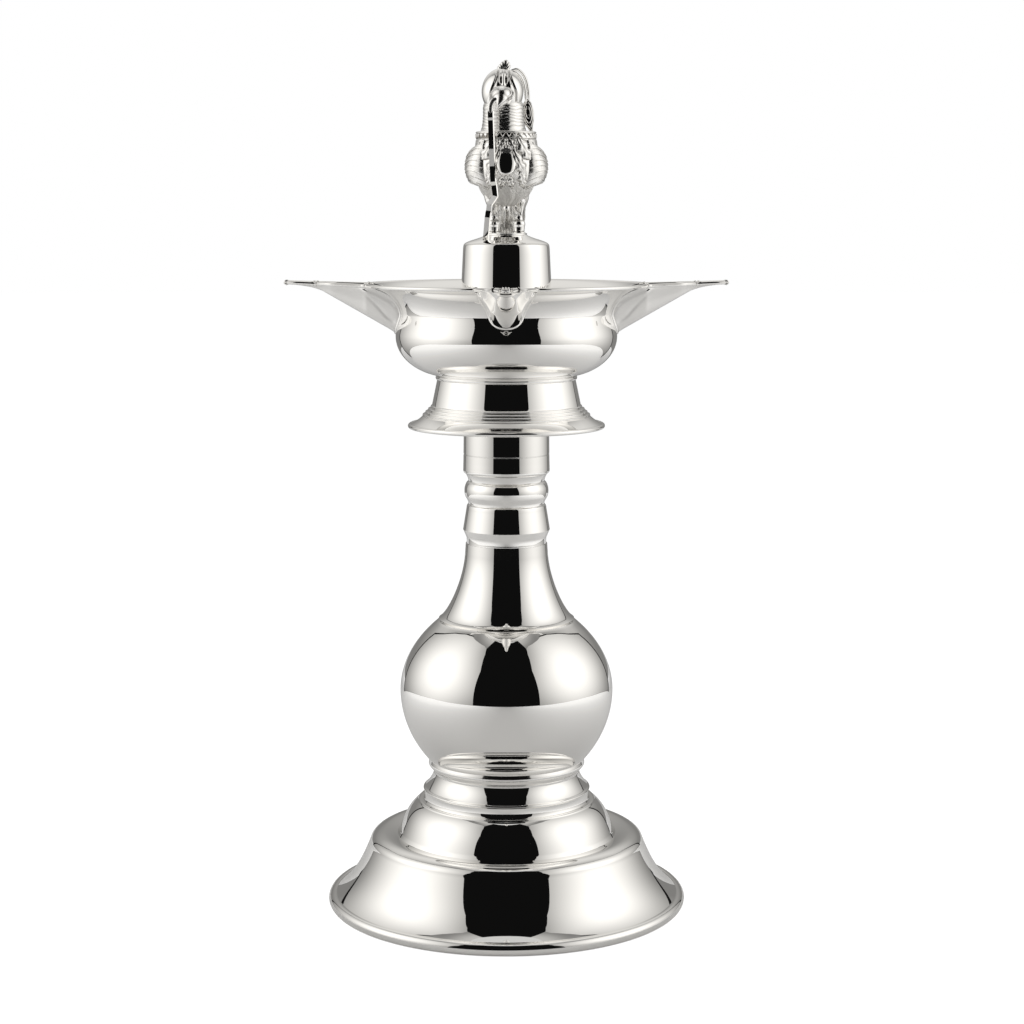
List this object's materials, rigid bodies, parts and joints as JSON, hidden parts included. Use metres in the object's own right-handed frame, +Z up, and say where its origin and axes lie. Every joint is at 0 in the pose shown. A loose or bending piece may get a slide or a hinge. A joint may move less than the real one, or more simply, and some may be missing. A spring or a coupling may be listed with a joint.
{
  "type": "aarti oil lamp",
  "caption": "Silver oil lamp with a bell foot, bulb stem, spouted round bowl and peacock finial that unscrews into four groups.",
  "frame": {"origin": "on the ground plane at the foot's centre, on the lamp's axis", "axes": "+Z up along the lamp's axis; -Y is the front, towards the viewer of the picture; +X is the lamp's right side in the picture"},
  "size_m": [0.1558, 0.1558, 0.3],
  "materials": {
    "silver": "polished",
    "silver_chased": "satin",
    "washer": "satin"
  },
  "bodies": {
    "foot": {"foot_rim": "silver", "foot_bell": "silver", "foot_dome": "silver", "foot_collar": "silver", "foot_bush": "silver"},
    "foot_washer": {"foot_washer": "washer"},
    "stem": {"stem_stud": "silver", "stem_collar": "silver", "bulb_lower": "silver", "bulb_upper": "silver", "neck_flare": "silver", "neck_ring": "silver", "neck_bead": "silver", "column_cap": "silver", "stem_bush": "silver"},
    "bowl_washer": {"bowl_washer": "washer"},
    "bowl": {"bowl_stud": "silver", "bowl_socket": "silver", "bowl_skirt": "silver", "skirt_rim": "silver", "bowl_collar": "silver", "bowl_lower": "silver", "bowl_upper": "silver", "bowl_rim": "silver", "spout_front": "silver", "spout_right": "silver", "spout_back": "silver", "spout_left": "silver", "bowl_bush": "silver"},
    "finial_washer": {"finial_washer": "washer"},
    "finial": {"finial_stud": "silver", "pedestal": "silver", "bird_leg_left": "silver_chased", "bird_leg_right": "silver_chased", "bird_body": "silver_chased", "chest_boss": "silver", "bird_neck": "silver_chased", "necklace": "silver", "bird_head": "silver", "bird_beak": "silver", "bird_crest": "silver", "bird_plume": "silver_chased", "bird_wing_left": "silver_chased", "bird_wing_right": "silver_chased", "bird_tail": "silver_chased", "bird_strap": "silver"}
  },
  "joints": [
    {"name": "stem_rise", "type": "slide", "parent": "foot", "child": "foot_washer", "axis": [0, 0, 1], "range_m": [0, 0.009]},
    {"name": "stem_turn", "type": "hinge", "parent": "foot_washer", "child": "stem", "pos_m": [0, 0, 0], "axis": [0, 0, 1], "range_deg": [0, 2160]},
    {"name": "bowl_rise", "type": "slide", "parent": "stem", "child": "bowl_washer", "axis": [0, 0, 1], "range_m": [0, 0.009]},
    {"name": "bowl_turn", "type": "hinge", "parent": "bowl_washer", "child": "bowl", "pos_m": [0, 0, 0], "axis": [0, 0, 1], "range_deg": [0, 2160]},
    {"name": "finial_rise", "type": "slide", "parent": "bowl", "child": "finial_washer", "axis": [0, 0, 1], "range_m": [0, 0.009]},
    {"name": "finial_turn", "type": "hinge", "parent": "finial_washer", "child": "finial", "pos_m": [0, 0, 0], "axis": [0, 0, 1], "range_deg": [0, 2160]}
  ],
  "couplings": [
    {"joint": "stem_rise", "follows": "stem_turn", "m_per_rad": 0.00023873},
    {"joint": "bowl_rise", "follows": "bowl_turn", "m_per_rad": 0.00023873},
    {"joint": "finial_rise", "follows": "finial_turn", "m_per_rad": 0.00023873}
  ]
}
